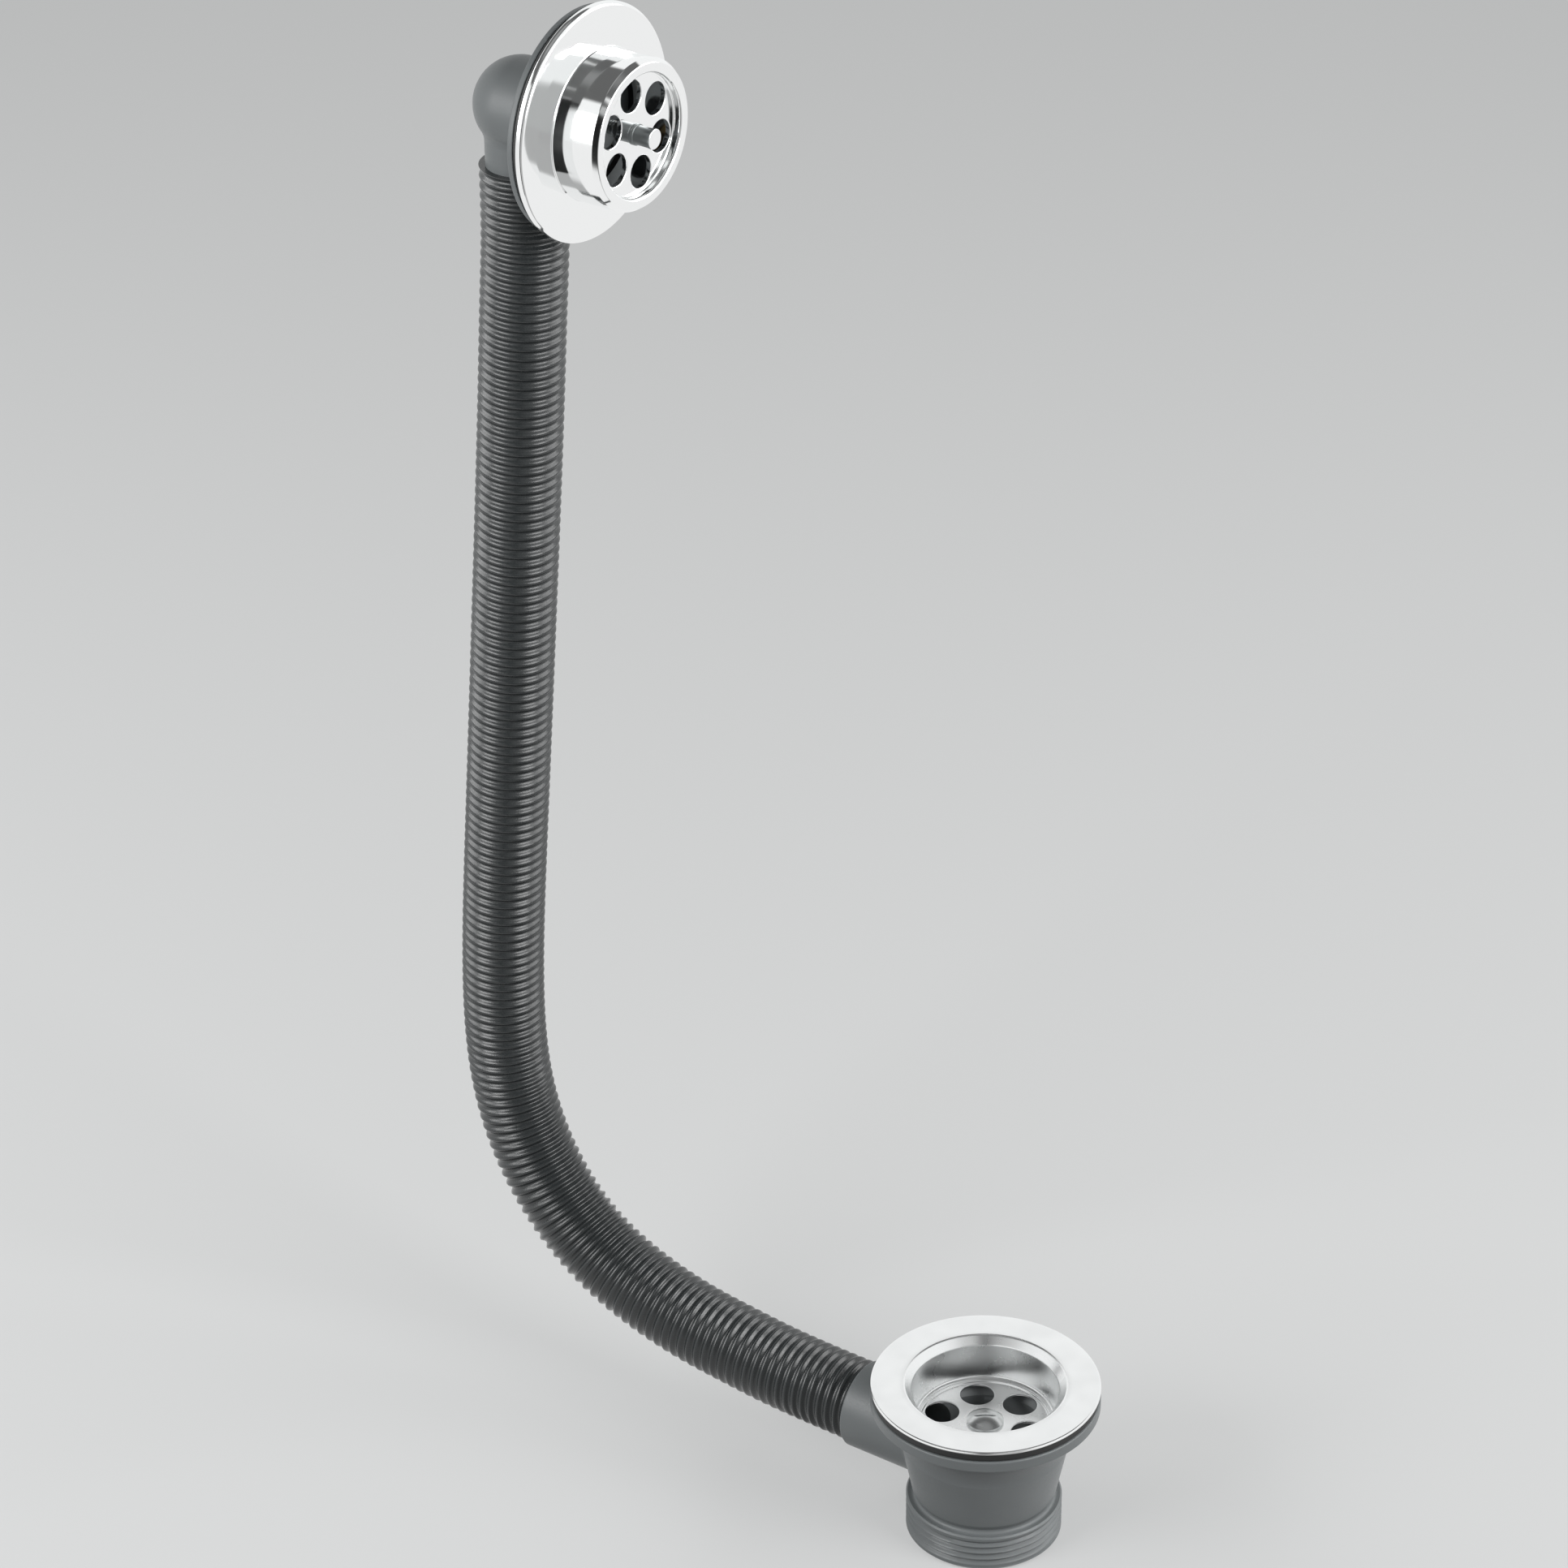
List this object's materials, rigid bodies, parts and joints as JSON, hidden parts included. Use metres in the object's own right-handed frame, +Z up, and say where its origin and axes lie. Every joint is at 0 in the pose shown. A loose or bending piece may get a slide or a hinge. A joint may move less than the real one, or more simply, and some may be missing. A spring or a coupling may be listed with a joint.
{
  "type": "bath waste and overflow",
  "caption": "Bath waste with a steel strainer bowl and threaded tail, joined by a ribbed hose to a plated overflow rose with a chain stay on a moulded elbow.",
  "frame": {"origin": "centre of the lower end of the waste's threaded tail", "axes": "+Z up along the waste's axis, +X the way the overflow faces, so the overflow stands on the -X side"},
  "size_m": [0.2288, 0.07, 0.4649],
  "materials": {
    "polished_steel": "pressed stainless steel, satin flange and polished bowl",
    "chrome_plate": "bright chrome plate",
    "screw_plate": "bright plated screw",
    "seal_rubber": "matt black rubber",
    "grey_plastic": "satin moulded polypropylene, dark grey",
    "hose_plastic": "ribbed blown polyethylene, near black",
    "insert_brass": "turned brass"
  },
  "bodies": {
    "root": {"waste_bowl": "polished_steel", "waste_screw": "screw_plate", "waste_seal": "seal_rubber", "waste_body": "grey_plastic", "waste_insert": "insert_brass", "overflow_hose": "hose_plastic", "overflow_rose": "chrome_plate", "chain_stay": "screw_plate", "overflow_seal": "seal_rubber", "overflow_elbow": "grey_plastic", "overflow_insert": "insert_brass"}
  },
  "joints": []
}
